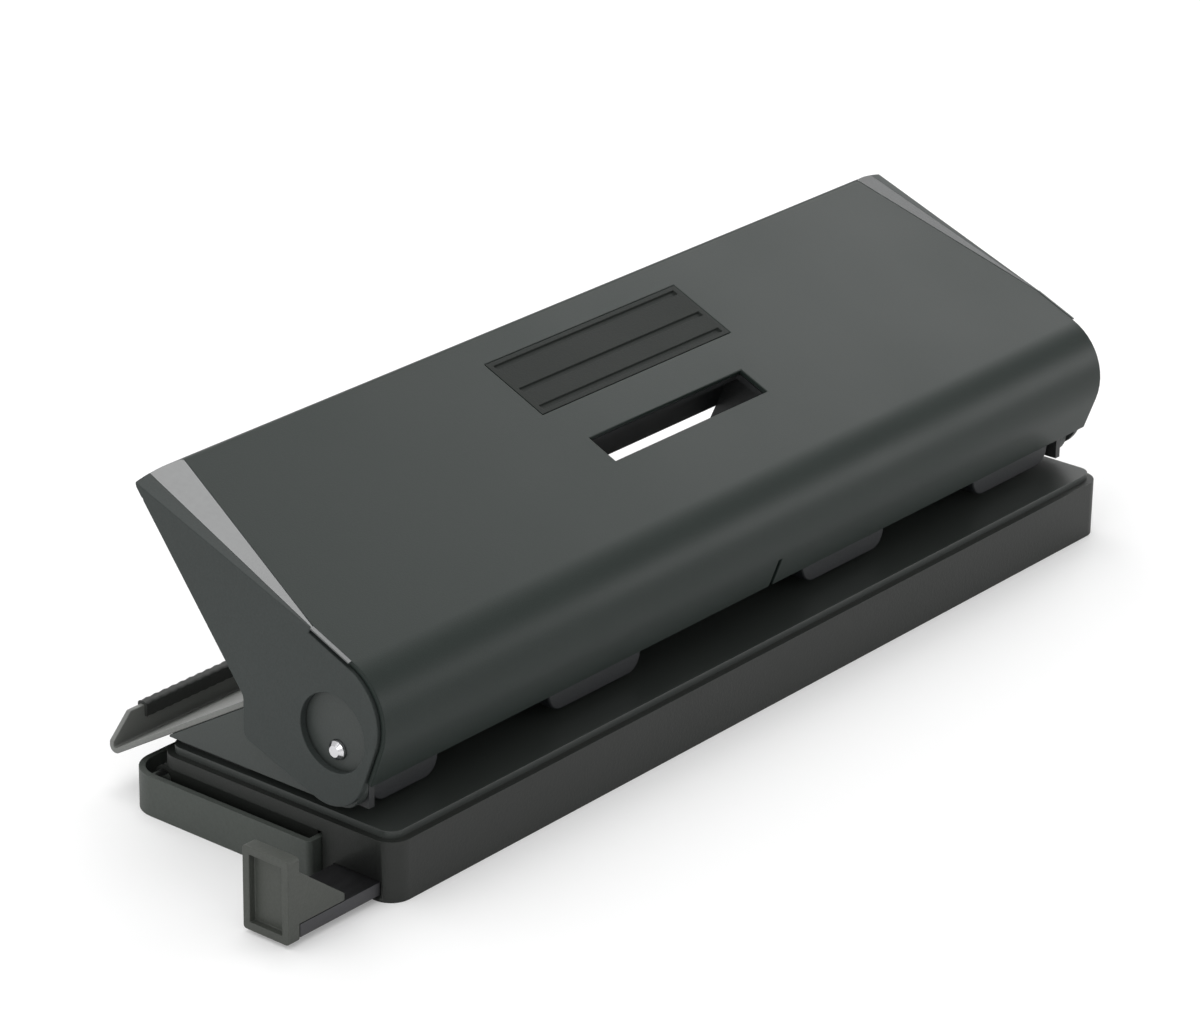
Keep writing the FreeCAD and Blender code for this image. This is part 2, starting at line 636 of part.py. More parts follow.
def bridge_plate():
    """Folded sheet over the punch heads, with a rear wall and a flange under the roof."""
    wall_y = FENCE_Y + FENCE_WALL
    slope = math.radians(ROOF_ANGLE)
    top_z = roof_z(wall_y) - ROOF_DROP - SEAT
    flange = (wall_y + FLANGE_LENGTH * math.cos(slope), top_z - FLANGE_LENGTH * math.sin(slope))
    points = [flange, (wall_y - BRIDGE_WALL, top_z + BRIDGE_WALL * ROOF_SLOPE),
              (wall_y - BRIDGE_WALL, WEB_TOP_Z), (BRIDGE_FRONT_Y, WEB_TOP_Z)]
    bridge = sheet_x(points, [0, 0, 0, 0], -BRIDGE_WALL, -BRIDGE_X, BRIDGE_X)
    arm_clear = ARM_X - ARM_WALL - ARM_RELIEF
    for side in (-1, 1):
        x0, x1 = sorted((side * arm_clear, side * (BRIDGE_X + 1)))
        bridge = bridge.cut(box(x0, x1, BRIDGE_FRONT_Y - 1, PUNCH_Y, WEB_UNDER_Z - 1, WEB_TOP_Z + 1))
    for x in PUNCH_X:
        bridge = bridge.cut(rod_z(x, PUNCH_Y, WEB_UNDER_Z - 1, WEB_TOP_Z + 1, SPRING_BORE_R))
    for x, y in head_screw_places():
        bridge = bridge.cut(rod_z(x, y, WEB_UNDER_Z - 1, WEB_TOP_Z + 1, SCREW_R + FIT))
    return bridge


def roof_plate():
    """Sloping sheet behind the bridge, with an upturned rear lip that slants at its ends."""
    points = [(ROOF_REAR_Y, ROOF_REAR_Z + LIP_HEIGHT), (ROOF_REAR_Y, ROOF_REAR_Z),
              (ROOF_FRONT_Y, roof_z(ROOF_FRONT_Y))]
    roof = sheet_x(points, [0, LIP_BEND_R, 0], -ROOF_WALL, -CHEEK_X, CHEEK_X)
    low = ROOF_REAR_Z + LIP_CORNER_Z
    y0 = ROOF_REAR_Y - ROOF_WALL
    for side in (-1, 1):
        corners = [V(side * CHEEK_X, y0, low), V(side * (CHEEK_X - LIP_HEIGHT), y0, low + LIP_HEIGHT),
                   V(side * (CHEEK_X + LIP_HEIGHT), y0, low + LIP_HEIGHT)]
        corner = Part.Face(Part.makePolygon(corners + corners[:1]))
        roof = roof.cut(corner.extrude(V(0, 3 * ROOF_WALL, 0)))
    return roof


def lip_strip():
    """Rubber edge strip pushed over the roof's upturned lip."""
    half = CHEEK_X - LIP_STRIP_INSET
    lip_top = ROOF_REAR_Z + LIP_HEIGHT
    y0 = ROOF_REAR_Y - LIP_STRIP_WALL - FIT
    y1 = ROOF_REAR_Y + ROOF_WALL + LIP_STRIP_WALL + FIT
    top = lip_top + LIP_STRIP_WALL
    low = top - LIP_STRIP_HEIGHT
    strip = plate_x([(y0, low), (y1, low), (y1, top), (y0, top)], -half, half,
                    [0, 0, LIP_STRIP_R, LIP_STRIP_R])
    slot = box(-half - 1, half + 1, ROOF_REAR_Y - FIT, ROOF_REAR_Y + ROOF_WALL + FIT,
               low - 1, lip_top + FIT)
    return strip.cut(slot)


def fence_screws():
    y = FENCE_Y + FENCE_WALL + FENCE_FOOT / 2
    return [(x, y) for x in PUNCH_X]


def paper_fence():
    """Steel angle behind the slot: stops the paper and stiffens the bridge."""
    end = BRIDGE_X - BRACKET_FLANGE - 2 * SEAT
    upright = box(-BRIDGE_X, BRIDGE_X, FENCE_Y, FENCE_Y + FENCE_WALL, PAPER_Z, WEB_UNDER_Z)
    foot = box(-end, end, FENCE_Y + FENCE_WALL, FENCE_Y + FENCE_WALL + FENCE_FOOT,
               PAPER_Z, PAPER_Z + FENCE_WALL)
    fence = upright.fuse(foot)
    for x, y in fence_screws():
        fence = fence.cut(rod_z(x, y, PAPER_Z - 1, PAPER_Z + 2 * FENCE_WALL, SCREW_R + FIT))
    return fence.removeSplitter()


# ---- punch heads -----------------------------------------------------------------
def head_span(i):
    """Ends of one head block along X: it reaches further towards its own end."""
    side = -1 if i < HEAD_COUNT / 2 else 1
    inner = PUNCH_X[i] - side * HEAD_INSIDE
    outer = PUNCH_X[i] + side * HEAD_OUTSIDE
    limit = BRIDGE_X - SEAT
    x0, x1 = sorted((inner, outer))
    return max(x0, -limit), min(x1, limit)


def head_screw_places():
    places = []
    for i in range(HEAD_COUNT):
        x0, x1 = head_span(i)
        places.append(((x0 + x1) / 2, PUNCH_Y - HEAD_SCREW_FRONT))
    return places


def head_block(i):
    x0, x1 = head_span(i)
    r = HEAD_CORNER_R
    outline = [(x0, SLOT_TOP_Z), (x1, SLOT_TOP_Z), (x1, HEAD_TOP_Z), (x0, HEAD_TOP_Z)]
    corners = [V(x, HEAD_FRONT_Y, z) for x, z in outline]
    edges = corner_path(corners, [r, r, 0, 0], True)
    block = Part.Face(Part.Wire(edges)).extrude(V(0, FENCE_Y - SEAT - HEAD_FRONT_Y, 0))
    for side in (-1, 1):
        x0, x1 = sorted((side * (ARM_X - ARM_WALL - ARM_RELIEF), side * HALF))
        relief = box(x0, x1, HEAD_FRONT_Y - 1, PUNCH_Y, PIVOT_Z - ARM_PIVOT_R - SLIDE,
                     HEAD_TOP_Z + 1)
        block = block.cut(relief)
    x = PUNCH_X[i]
    block = block.cut(rod_z(x, PUNCH_Y, SLOT_TOP_Z - 1, HEAD_TOP_Z + 1, PUNCH_R + RUN))
    block = block.cut(rod_z(x, PUNCH_Y, SPRING_SEAT_Z, HEAD_TOP_Z + 1, SPRING_BORE_R))
    screw_x, screw_y = head_screw_places()[i]
    return block.cut(rod_z(screw_x, screw_y, SPRING_SEAT_Z - 2, HEAD_TOP_Z + 1, SCREW_R + FIT))


def punch_pin(x):
    tip_z = SLOT_TOP_Z + PUNCH_TIP_LIFT
    head_z = ROD_TOP_OF_PUNCH_Z - PUNCH_HEAD
    shank = rod_z(x, PUNCH_Y, tip_z, head_z, PUNCH_R)
    groove_z = tip_z - PUNCH_GROOVE_R + PUNCH_GROOVE_DEPTH
    groove = rod_x(x - 2 * PUNCH_R, x + 2 * PUNCH_R, PUNCH_Y, groove_z, PUNCH_GROOVE_R)
    head = rod_z(x, PUNCH_Y, head_z, ROD_TOP_OF_PUNCH_Z, PUNCH_HEAD_R)
    head = head.makeChamfer(PUNCH_HEAD_EDGE, [edge for edge in head.Edges if edge.Closed])
    return shank.cut(groove).fuse(head).removeSplitter()


def punch_spring(x):
    low = SPRING_SEAT_Z + SPRING_WIRE_R
    high = ROD_TOP_OF_PUNCH_Z - PUNCH_HEAD - SPRING_WIRE_R
    height = high - low
    helix = Part.makeHelix(height / SPRING_TURNS, height, SPRING_R)
    start = helix.Vertexes[0].Point
    ring = Part.Wire(Part.makeCircle(SPRING_WIRE_R, start, V(0, 1, 0)))
    coil = Part.Wire(helix.Edges).makePipeShell([ring], True, True)
    coil.translate(V(x, PUNCH_Y, low))
    return coil


def die_bush(x):
    z0 = PAPER_Z - DIE_LENGTH
    ring = rod_z(x, PUNCH_Y, z0, PAPER_Z, DIE_R)
    return ring.cut(rod_z(x, PUNCH_Y, z0 - 1, PAPER_Z + 1, PUNCH_R + RUN))


def screw(x, y, seat_z, length):
    """Slotted screw that stands on its seat, with its shank down."""
    top_z = seat_z + SCREW_HEAD
    head = rod_z(x, y, seat_z, top_z, SCREW_HEAD_R)
    rim = [edge for edge in head.Edges if edge.Closed and edge.CenterOfMass.z > seat_z + FIT]
    head = head.makeFillet(SCREW_HEAD_EDGE, rim)
    shank = rod_z(x, y, seat_z - length, seat_z, SCREW_R)
    slot = box(x - SCREW_HEAD_R, x + SCREW_HEAD_R, y - SCREW_SLOT / 2, y + SCREW_SLOT / 2,
               top_z - SCREW_SLOT, top_z + 1)
    return head.fuse(shank).cut(slot).removeSplitter()


# ---- base ------------------------------------------------------------------------
def base_screw_places():
    near = bracket_screws()
    return fence_screws() + near + [(-x, y) for x, y in near]


def die_plate():
    edge = DIE_PLATE_INSET
    half = DECK_HALF_LENGTH - edge
    outline = [(-half, BASE_FRONT_Y + edge), (half, BASE_FRONT_Y + edge),
               (half, BASE_REAR_Y - edge), (-half, BASE_REAR_Y - edge)]
    plate = plate_z(outline, DECK_TOP_Z, PAPER_Z, [DECK_CORNER_R - edge] * 4)
    for x in PUNCH_X:
        plate = plate.cut(rod_z(x, PUNCH_Y, DECK_TOP_Z - 1, PAPER_Z + 1, DIE_R + FIT))
    for x, y in base_screw_places():
        plate = plate.cut(rod_z(x, y, DECK_TOP_Z - 1, PAPER_Z + 1, SCREW_R + FIT))
    return plate


def base_body():
    """Deck, front foot with the bar's tunnel, and the skirt that locates the tray."""
    half = DECK_HALF_LENGTH
    outline = [(-half, BASE_FRONT_Y), (half, BASE_FRONT_Y), (half, BASE_REAR_Y),
               (-half, BASE_REAR_Y)]
    body = plate_z(outline, DECK_UNDER_Z, DECK_TOP_Z, [DECK_CORNER_R] * 4)
    foot = plate_z([(-half, BASE_FRONT_Y), (half, BASE_FRONT_Y), (half, FOOT_REAR_Y),
                    (-half, FOOT_REAR_Y)], 0, DECK_UNDER_Z, [DECK_CORNER_R, DECK_CORNER_R, 0, 0])
    inner = TRAY_HALF_LENGTH - TRAY_WALL - SKIRT_INSET
    skirt_z = DECK_UNDER_Z - SKIRT_DEPTH
    skirt_y = FOOT_REAR_Y + TRAY_FRONT_GAP + TRAY_WALL + 2 * SLIDE
    ring = box(-inner, inner, skirt_y, BASE_REAR_Y - SKIRT_WALL, skirt_z, DECK_UNDER_Z)
    ring = ring.cut(box(-inner + SKIRT_WALL, inner - SKIRT_WALL, FOOT_REAR_Y - 1,
                        BASE_REAR_Y - 2 * SKIRT_WALL, skirt_z - 1, DECK_UNDER_Z + 1))
    body = body.fuse(foot).fuse(ring)
    for side in (-1, 1):
        x0, x1 = sorted((side * (inner - SKIRT_WALL), side * inner))
        ear = rod_x(x0, x1, HINGE_Y, HINGE_Z, HINGE_EAR_R)
        web = box(x0, x1, HINGE_Y - HINGE_EAR_R, HINGE_Y, HINGE_Z, DECK_UNDER_Z)
        body = body.fuse(ear.fuse(web))
        body = body.cut(rod_x(x0 - 1, x1 + 1, HINGE_Y, HINGE_Z, HINGE_R + FIT))
    tunnel = box(-half - 1, BAR_END_X + BAR_TRAVEL_IN + SLIDE, STOP_FRONT_Y - SLIDE,
                 STOP_REAR_Y + SLIDE, BAR_BOTTOM_Z - SLIDE / 2, BAR_TOP_Z + SLIDE / 2)
    body = body.cut(tunnel)
    for x in PUNCH_X:
        body = body.cut(rod_z(x, PUNCH_Y, DECK_UNDER_Z - 1, DECK_TOP_Z + 1, CHIP_HOLE_R))
    for x, y in base_screw_places():
        body = body.cut(rod_z(x, y, DECK_UNDER_Z - 1, DECK_TOP_Z + 1, SCREW_R + FIT))
    return body.removeSplitter()


def chip_tray():
    half = TRAY_HALF_LENGTH
    y0 = FOOT_REAR_Y + TRAY_FRONT_GAP
    r = TRAY_CORNER_R
    t = TRAY_WALL
    outer = plate_z([(-half, y0), (half, y0), (half, TRAY_REAR_Y), (-half, TRAY_REAR_Y)],
                    0, TRAY_RIM_Z, [TRAY_FRONT_R, TRAY_FRONT_R, r, r])
    inner = plate_z([(-half + t, y0 + t), (half - t, y0 + t), (half - t, TRAY_REAR_Y - t),
                     (-half + t, TRAY_REAR_Y - t)], t, TRAY_RIM_Z + 1, [0, 0, r - t, r - t])
    tray = outer.cut(inner)
    skirt_x = half - t - SKIRT_INSET
    for side in (-1, 1):
        x0, x1 = sorted((side * (skirt_x + SLIDE), side * (half - TRAY_PIN_END)))
        ear = rod_x(x0, x1, HINGE_Y, HINGE_Z, TRAY_EAR_R)
        post = box(x0, x1, HINGE_Y - TRAY_EAR_R, HINGE_Y + TRAY_EAR_R, t, HINGE_Z)
        bore = rod_x(min(x0, side * skirt_x), max(x1, side * skirt_x), HINGE_Y, HINGE_Z,
                     HINGE_R + RUN)
        tray = tray.fuse(ear.fuse(post)).cut(bore)
    return tray.removeSplitter()


def tray_pin():
    inner = TRAY_HALF_LENGTH - TRAY_WALL - SKIRT_INSET
    return rod_x(-TRAY_HALF_LENGTH + TRAY_WALL, -inner + SKIRT_WALL, HINGE_Y, HINGE_Z, HINGE_R)


# ---- paper stop ------------------------------------------------------------------
def stop_screw_x():
    return STOP_X + STOP_WALL + STOP_GUSSET * STOP_SCREW_SHARE


def stop_middle_y():
    return (STOP_FRONT_Y + STOP_REAR_Y) / 2


def guide_bar():
    bar = box(STOP_X + STOP_WALL + SEAT, BAR_END_X, STOP_FRONT_Y, STOP_REAR_Y,
              BAR_BOTTOM_Z, BAR_TOP_Z)
    return bar.cut(rod_z(stop_screw_x(), stop_middle_y(), BAR_BOTTOM_Z - 1, BAR_TOP_Z + 1,
                         SCREW_R + FIT))


def guide_stop():
    x1 = STOP_X + STOP_WALL
    x2 = x1 + STOP_GUSSET
    outline = [(STOP_FRONT_Y, STOP_BOTTOM_Z), (STOP_REAR_Y, STOP_BOTTOM_Z),
               (STOP_REAR_Y, STOP_TOP_Z), (STOP_FRONT_Y, STOP_TOP_Z)]
    stop = plate_x(outline, STOP_X, x1, [STOP_EDGE_R] * 4)
    stop = stop.cut(box(STOP_X - 1, STOP_X + STOP_POCKET, STOP_FRONT_Y + STOP_RIM,
                        STOP_REAR_Y - STOP_RIM, STOP_BOTTOM_Z + STOP_RIM, STOP_TOP_Z - STOP_RIM))
    low = BAR_TOP_Z + SEAT
    sole_top = low + STOP_SOLE
    for y in (STOP_FRONT_Y, STOP_REAR_Y - STOP_GUSSET_WALL):
        corners = [V(x1, y, low), V(x2, y, low), V(x2, y, sole_top),
                   V(x1, y, STOP_TOP_Z - STOP_GUSSET_DROP)]
        gusset = Part.Face(Part.makePolygon(corners + corners[:1]))
        stop = stop.fuse(gusset.extrude(V(0, STOP_GUSSET_WALL, 0)))
    stop = stop.fuse(box(x1, x2, STOP_FRONT_Y, STOP_REAR_Y, low, sole_top))
    screw_hole = rod_z(stop_screw_x(), stop_middle_y(), low - 1, sole_top + 1, SCREW_R + FIT)
    return stop.cut(screw_hole).removeSplitter()


# ---- write every piece -----------------------------------------------------------
def main():
    os.makedirs("parts", exist_ok=True)
    both_ends = {"end_cap": end_cap, "end_trim": end_trim, "lever_arm": lever_arm,
                 "lever_rib": lever_rib, "side_cheek": side_cheek,
                 "side_bracket": side_bracket, "pivot_pin": pivot_pin,
                 "pivot_clip": pivot_clip, "pivot_bush": pivot_bush, "tray_pin": tray_pin}
    for name, make in both_ends.items():
        left = make()
        save(name + "_left", left)
        save(name + "_right", mirrored(left))
    single = {"lever_cover": lever_cover, "grip_pad": grip_pad, "lever_channel": lever_channel,
              "press_rod": press_rod, "bridge_plate": bridge_plate, "roof_plate": roof_plate,
              "lip_strip": lip_strip, "paper_fence": paper_fence, "die_plate": die_plate,
              "base_body": base_body, "chip_tray": chip_tray, "guide_stop": guide_stop,
              "guide_bar": guide_bar}
    for name, make in single.items():
        save(name, make())
    sole_top = BAR_TOP_Z + SEAT + STOP_SOLE
    save("guide_screw", screw(stop_screw_x(), stop_middle_y(), sole_top, STOP_SCREW_LENGTH))
    for i, x in enumerate(PUNCH_X):
        number = "_" + str(i + 1)
        save("head_block" + number, head_block(i))
        save("punch_pin" + number, punch_pin(x))
        save("punch_spring" + number, punch_spring(x))
        save("die_bush" + number, die_bush(x))
    head_screws = [screw(x, y, WEB_TOP_Z, HEAD_SCREW_LENGTH) for x, y in head_screw_places()]
    save("head_screws", Part.makeCompound(head_screws))
    base_screws = [screw(x, y, PAPER_Z + FENCE_WALL, BASE_SCREW_LENGTH) for x, y in base_screw_places()]
    save("base_screws", Part.makeCompound(base_screws))


main()
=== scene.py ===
import math

import bmesh
import bpy
from mathutils import Matrix, Vector


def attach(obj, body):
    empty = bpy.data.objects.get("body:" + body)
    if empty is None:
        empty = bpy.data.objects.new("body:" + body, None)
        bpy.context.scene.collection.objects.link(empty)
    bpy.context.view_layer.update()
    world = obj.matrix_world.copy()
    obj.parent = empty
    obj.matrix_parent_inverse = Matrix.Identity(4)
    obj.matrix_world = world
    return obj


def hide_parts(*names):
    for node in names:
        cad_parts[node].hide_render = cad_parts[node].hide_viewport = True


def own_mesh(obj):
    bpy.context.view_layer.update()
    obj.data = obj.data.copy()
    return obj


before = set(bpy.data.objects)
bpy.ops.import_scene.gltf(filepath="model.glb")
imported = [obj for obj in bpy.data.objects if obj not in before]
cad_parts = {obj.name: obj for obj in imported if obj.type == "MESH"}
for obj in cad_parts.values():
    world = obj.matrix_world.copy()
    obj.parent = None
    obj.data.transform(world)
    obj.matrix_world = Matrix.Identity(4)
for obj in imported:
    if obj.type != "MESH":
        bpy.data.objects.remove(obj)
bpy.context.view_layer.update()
scene = bpy.context.scene

# Tabletop and studio.
# A wide white table that keeps the punch's soft shadow, with a white room around it. Six soft
# lamps stand overhead, above the lever's right half, at both ends, in front and behind.

def new_object(name, mesh, body=None):
    """Puts a mesh in the scene, riding on a body if one is named."""
    piece = bpy.data.objects.new(name, mesh)
    scene.collection.objects.link(piece)
    if body:
        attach(piece, body)
    return piece


TABLE_REACH = 8
table_mesh = bpy.data.meshes.new("table_top")
bm = bmesh.new()
bmesh.ops.create_grid(bm, x_segments=1, y_segments=1, size=TABLE_REACH)
bm.to_mesh(table_mesh)
bm.free()
table = new_object("table_top", table_mesh)

table_white = bpy.data.materials.new("table_white")
table_white.use_nodes = True
tn = table_white.node_tree.nodes
tl = table_white.node_tree.links
board = tn["Principled BSDF"]
board.inputs["Base Color"].default_value = (0.80, 0.80, 0.80, 1)
board.inputs["Roughness"].default_value = 0.7
board.inputs["Specular IOR Level"].default_value = 0.1
board.inputs["Emission Color"].default_value = (1, 1, 1, 1)
sight = tn.new("ShaderNodeLightPath")
lift = tn.new("ShaderNodeMath")
lift.operation = "MULTIPLY"
lift.inputs[1].default_value = 0.20
tl.new(sight.outputs["Is Camera Ray"], lift.inputs[0])
tl.new(lift.outputs[0], board.inputs["Emission Strength"])
table_mesh.materials.append(table_white)

room = bpy.data.worlds.new("white_room")
room.use_nodes = True
scene.world = room
wn = room.node_tree.nodes
wl = room.node_tree.links
plain = wn["Background"]
plain.inputs["Color"].default_value = (1, 1, 1, 1)
plain.inputs["Strength"].default_value = 0.62
seen = wn.new("ShaderNodeBackground")
seen.inputs["Color"].default_value = (1, 1, 1, 1)
seen.inputs["Strength"].default_value = 1.0
ray = wn.new("ShaderNodeLightPath")
either = wn.new("ShaderNodeMath")
either.operation = "MAXIMUM"
wl.new(ray.outputs["Is Camera Ray"], either.inputs[0])
wl.new(ray.outputs["Is Transmission Ray"], either.inputs[1])
choose = wn.new("ShaderNodeMixShader")
wl.new(either.outputs[0], choose.inputs["Fac"])
wl.new(plain.outputs[0], choose.inputs[1])
wl.new(seen.outputs[0], choose.inputs[2])
wl.new(choose.outputs[0], wn["World Output"].inputs["Surface"])


def soft_lamp(name, place, aim, size, power):
    light = bpy.data.lights.new(name, "AREA")
    light.shape = "RECTANGLE"
    light.size = size[0]
    light.size_y = size[1]
    light.energy = power
    lamp = bpy.data.objects.new(name, light)
    scene.collection.objects.link(lamp)
    lamp.location = place
    lamp.rotation_euler = (Vector(aim) - Vector(place)).to_track_quat("-Z", "Y").to_euler()


soft_lamp("overhead", (-0.35, 0.3, 1.6), (0, 0, 0), (1.6, 1.8), 8.5)
soft_lamp("above_right", (0.25, 0.20, 1.15), (0, 0, 0.05), (0.42, 0.42), 1.4)
soft_lamp("left_end", (-1.6, -0.3, 0.6), (0, 0, 0.04), (1.0, 0.9), 5.5)
soft_lamp("right_end", (1.35, 0.30, 0.95), (0.1, 0, 0.05), (0.8, 0.8), 4.6)
soft_lamp("front_right", (1.3, -1.0, 0.35), (0.1, 0, 0.05), (0.9, 0.5), 4)
soft_lamp("far_back", (0.4, 1.5, 0.8), (0, 0, 0.05), (1.4, 0.8), 5)

# Camera.
# It looks down on the left end and the front from about 1.3 metres away.

lens = bpy.data.cameras.new("camera")
lens.lens = 139.34
lens.sensor_width = 36
lens.sensor_fit = "HORIZONTAL"
lens.clip_end = 30
camera = bpy.data.objects.new("camera", lens)
scene.collection.objects.link(camera)
right = Vector((0.63570, -0.77177, 0.01598))
upward = Vector((0.29610, 0.26291, 0.91826))
backward = Vector((-0.71289, -0.57901, 0.39565))
view = Matrix((right, upward, backward)).transposed().to_4x4()
view.translation = Vector((-0.90143, -0.71290, 0.54019))
camera.matrix_world = view
scene.camera = camera

# Base.
# A moulded black deck with a solid front foot. The paper stop's bar slides in a tunnel
# through the foot, and a skirt under the deck keeps the chip tray in place.

def satin_paint(name, colour, rough, bump, grain=2600, shine=0.5):
    """Sprayed or moulded satin surface: fine orange peel, and a faint cloudy shade."""
    paint = bpy.data.materials.new(name)
    paint.use_nodes = True
    n = paint.node_tree.nodes
    ln = paint.node_tree.links
    skin = n["Principled BSDF"]
    skin.inputs["Specular IOR Level"].default_value = shine
    place = n.new("ShaderNodeTexCoord")
    cloud = n.new("ShaderNodeTexNoise")
    cloud.inputs["Scale"].default_value = 22
    cloud.inputs["Detail"].default_value = 4
    ln.new(place.outputs["Object"], cloud.inputs["Vector"])
    tone = n.new("ShaderNodeMapRange")
    tone.inputs["To Min"].default_value = 0.9
    tone.inputs["To Max"].default_value = 1.1
    ln.new(cloud.outputs["Fac"], tone.inputs["Value"])
    fine = n.new("ShaderNodeTexNoise")
    fine.inputs["Scale"].default_value = grain
    fine.inputs["Detail"].default_value = 2
    ln.new(place.outputs["Object"], fine.inputs["Vector"])
    speck = n.new("ShaderNodeMapRange")
    speck.inputs["From Min"].default_value = 0.3
    speck.inputs["From Max"].default_value = 0.7
    speck.inputs["To Min"].default_value = 0.92
    speck.inputs["To Max"].default_value = 1.08
    ln.new(fine.outputs["Fac"], speck.inputs["Value"])
    both = n.new("ShaderNodeMath")
    both.operation = "MULTIPLY"
    ln.new(tone.outputs[0], both.inputs[0])
    ln.new(speck.outputs[0], both.inputs[1])
    mixed = n.new("ShaderNodeMix")
    mixed.data_type = "RGBA"
    mixed.blend_type = "MULTIPLY"
    mixed.inputs["Factor"].default_value = 1
    mixed.inputs["A"].default_value = (*colour, 1)
    grey = n.new("ShaderNodeCombineColor")
    for channel in ("Red", "Green", "Blue"):
        ln.new(both.outputs[0], grey.inputs[channel])
    ln.new(grey.outputs[0], mixed.inputs["B"])
    ln.new(mixed.outputs["Result"], skin.inputs["Base Color"])
    haze = n.new("ShaderNodeMapRange")
    haze.inputs["To Min"].default_value = rough - 0.05
    haze.inputs["To Max"].default_value = rough + 0.07
    ln.new(cloud.outputs["Fac"], haze.inputs["Value"])
    ln.new(haze.outputs[0], skin.inputs["Roughness"])
    peel = n.new("ShaderNodeBump")
    peel.inputs["Strength"].default_value = bump
    peel.inputs["Distance"].default_value = 0.0004
    ln.new(fine.outputs["Fac"], peel.inputs["Height"])
    ln.new(peel.outputs[0], skin.inputs["Normal"])
    return paint


NEAR = 1e-6                      # points closer than this are one point
ON_PLANE = 2e-5                  # an edge closer than this lies in the plane
FLAT_TURN = math.radians(0.6)    # faces that turn less than this are one flat face


def bevel_rims(bm, width, least=0.6, keep=None):
    """Rounds the edges whose faces turn by more than least radians; keep picks among them."""
    bm.normal_update()
    rims = []
    for edge in bm.edges:
        if len(edge.link_faces) != 2:
            continue
        if edge.calc_face_angle(0) > least and (keep is None or keep(edge)):
            rims.append(edge)
    bmesh.ops.bevel(bm, geom=rims, offset=width, offset_type="OFFSET", affect="EDGES",
                    segments=2, profile=0.5, material=-1, clamp_overlap=True)


def finish_piece(name, bm, body, node, material, place=None, smooth=0.6):
    """Turns a bmesh into the piece that stands for a solid."""
    if place is not None:
        bmesh.ops.transform(bm, matrix=place, verts=bm.verts)
    bmesh.ops.recalc_face_normals(bm, faces=bm.faces)
    mesh = bpy.data.meshes.new(name)
    bm.to_mesh(mesh)
    bm.free()
    for face in mesh.polygons:
        face.use_smooth = True
    mesh.set_sharp_from_angle(angle=smooth)
    mesh.materials.append(material)
    piece = new_object(name, mesh, body)
    even = piece.modifiers.new("even_shading", "WEIGHTED_NORMAL")
    even.keep_sharp = True
    even.weight = 80
    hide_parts(node)
    return piece


def softened(node, body, material, rim, keep=None):
    """The solid's own shape with every sharp rim rounded, as moulding or deburring leaves it."""
    bm = bmesh.new()
    bm.from_mesh(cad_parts[node].data)
    bmesh.ops.remove_doubles(bm, verts=bm.verts, dist=NEAR)
    bmesh.ops.dissolve_limit(bm, angle_limit=FLAT_TURN, verts=bm.verts, edges=bm.edges)
    bevel_rims(bm, rim, keep=keep)
    finish_piece(node + "_soft", bm, body, node, material)


def flat(edge, axis, *values):
    """Whether an edge lies in one of the planes square to an axis at those values."""
    return any(all(abs(v.co[axis] - value) < ON_PLANE for v in edge.verts) for value in values)


base_black = satin_paint("base_black", (0.012, 0.014, 0.012), rough=0.50, grain=1500, bump=0.14)
DECK_UNDER = 0.0130
DECK_TOP = 0.0167
softened("base_body", "base", base_black, rim=0.0005,
         keep=lambda e: flat(e, 2, 0, DECK_UNDER, DECK_TOP))

# Die plate and die bushes.
# A ground steel plate painted dark, screwed on the deck, with a hardened bush pressed in
# under each punch.

plate_grey = satin_paint("plate_grey", (0.035, 0.040, 0.037), rough=0.38, grain=3200, bump=0.04)
PLATE_TOP = 0.0187
softened("die_plate", "base", plate_grey, rim=0.0004,
         keep=lambda e: flat(e, 2, PLATE_TOP))


def dress(node, material):
    """Leaves a solid's shape as it is and gives it a material."""
    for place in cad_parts[node].material_slots:
        place.material = material


def bare_metal(name, colour, rough, stretch=(1, 1, 1), lines=900, bump=0.05):
    """Bare steel or brass: fine lines along one way and slightly uneven gloss."""
    metal = bpy.data.materials.new(name)
    metal.use_nodes = True
    n = metal.node_tree.nodes
    ln = metal.node_tree.links
    skin = n["Principled BSDF"]
    skin.inputs["Base Color"].default_value = (*colour, 1)
    skin.inputs["Metallic"].default_value = 1
    place = n.new("ShaderNodeTexCoord")
    drawn = n.new("ShaderNodeMapping")
    drawn.inputs["Scale"].default_value = stretch
    ln.new(place.outputs["Object"], drawn.inputs["Vector"])
    grain = n.new("ShaderNodeTexNoise")
    grain.inputs["Scale"].default_value = lines
    grain.inputs["Detail"].default_value = 3
    ln.new(drawn.outputs[0], grain.inputs["Vector"])
    gloss = n.new("ShaderNodeMapRange")
    gloss.inputs["To Min"].default_value = rough - 0.07
    gloss.inputs["To Max"].default_value = rough + 0.09
    ln.new(grain.outputs["Fac"], gloss.inputs["Value"])
    ln.new(gloss.outputs[0], skin.inputs["Roughness"])
    lift = n.new("ShaderNodeBump")
    lift.inputs["Strength"].default_value = bump
    lift.inputs["Distance"].default_value = 0.0002
    ln.new(grain.outputs["Fac"], lift.inputs["Height"])
    ln.new(lift.outputs[0], skin.inputs["Normal"])
    return metal


ground_steel = bare_metal("ground_steel", (0.56, 0.56, 0.57), 0.30, (1, 1, 0.1))
for number in "1234":
    dress("die_bush_" + number, ground_steel)

# Chip tray.
# A shallow moulded tray in dark grey that swings down from two pins at the rear.

